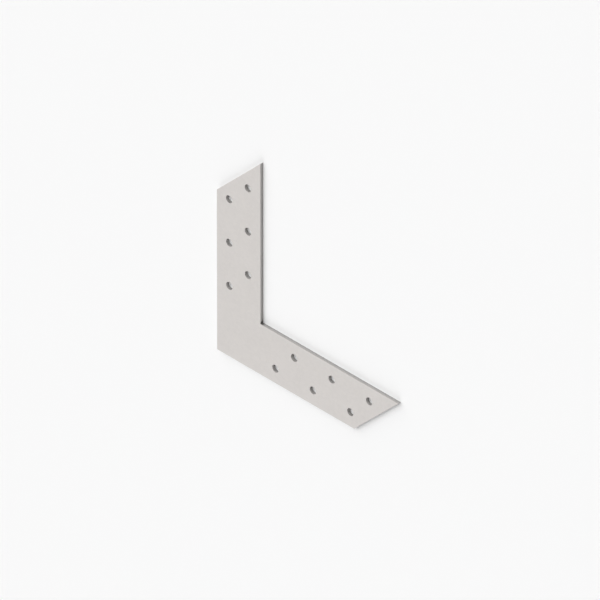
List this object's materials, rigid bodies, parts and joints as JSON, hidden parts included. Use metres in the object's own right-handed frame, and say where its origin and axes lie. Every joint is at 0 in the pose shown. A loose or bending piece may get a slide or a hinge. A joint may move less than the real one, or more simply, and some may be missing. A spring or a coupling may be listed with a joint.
{
  "type": "flat angle bracket",
  "caption": "Flat L-shaped plate of zinc-coated steel sheet, with free ends cut at 45 degrees and staggered rows of round screw holes in each arm.",
  "frame": {"origin": "on the back face, where the centre lines of the two arms cross", "axes": "+X along the foot arm, +Y along the upright arm, +Z out of the front face, so the plate lies on its back face"},
  "size_m": [0.145, 0.1458, 0.0022],
  "materials": {
    "zinc_steel": "dull zinc coat"
  },
  "bodies": {
    "root": {"angle_plate": "zinc_steel"}
  },
  "joints": []
}
